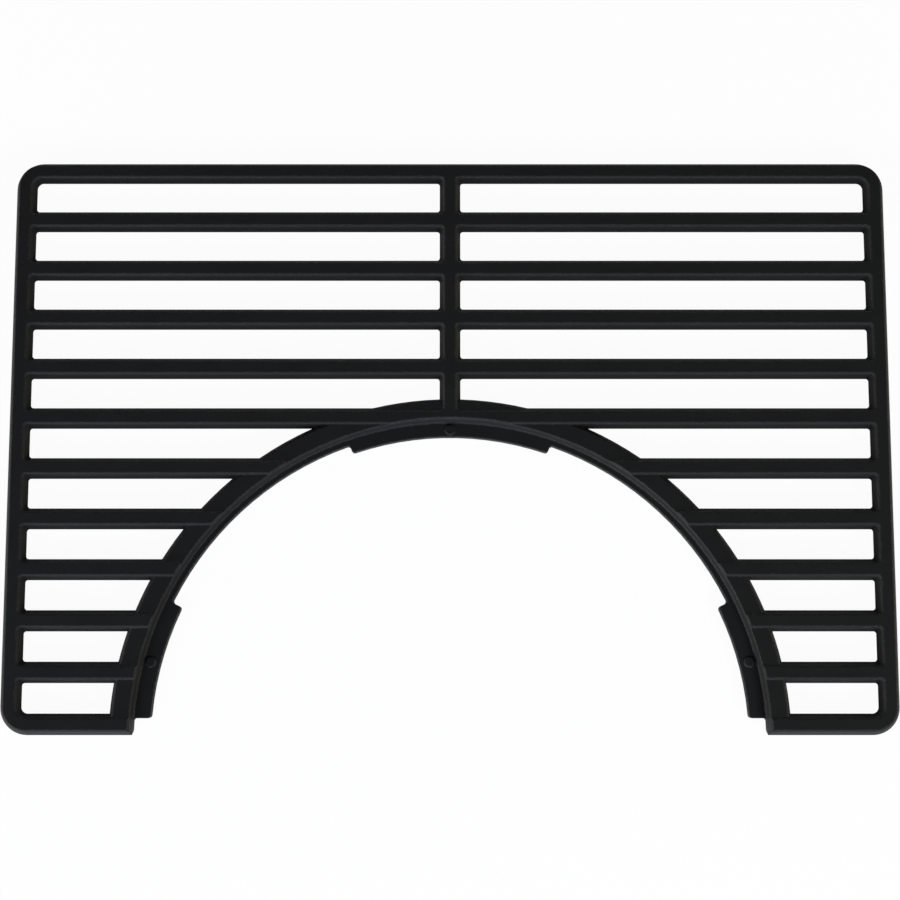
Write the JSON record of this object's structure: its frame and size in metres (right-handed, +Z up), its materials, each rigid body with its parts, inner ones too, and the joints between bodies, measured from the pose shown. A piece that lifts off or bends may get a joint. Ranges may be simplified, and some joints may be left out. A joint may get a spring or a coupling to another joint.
{
  "type": "grill grate",
  "caption": "Rectangular cast-iron cooking grate with long drafted bars, a cross bar and a half-round stepped seat in its front edge that carries half of a round insert.",
  "frame": {"origin": "middle of the underside, on the plane the grate rests on", "axes": "+X along the bars and the long side, +Y toward the straight back rail and away from the half-round opening, +Z up toward the cooking face"},
  "size_m": [0.445, 0.29, 0.012],
  "materials": {
    "cast_iron": "matt black enamel with a fine cast grain"
  },
  "bodies": {
    "root": {"grill_grate": "cast_iron"}
  },
  "joints": []
}
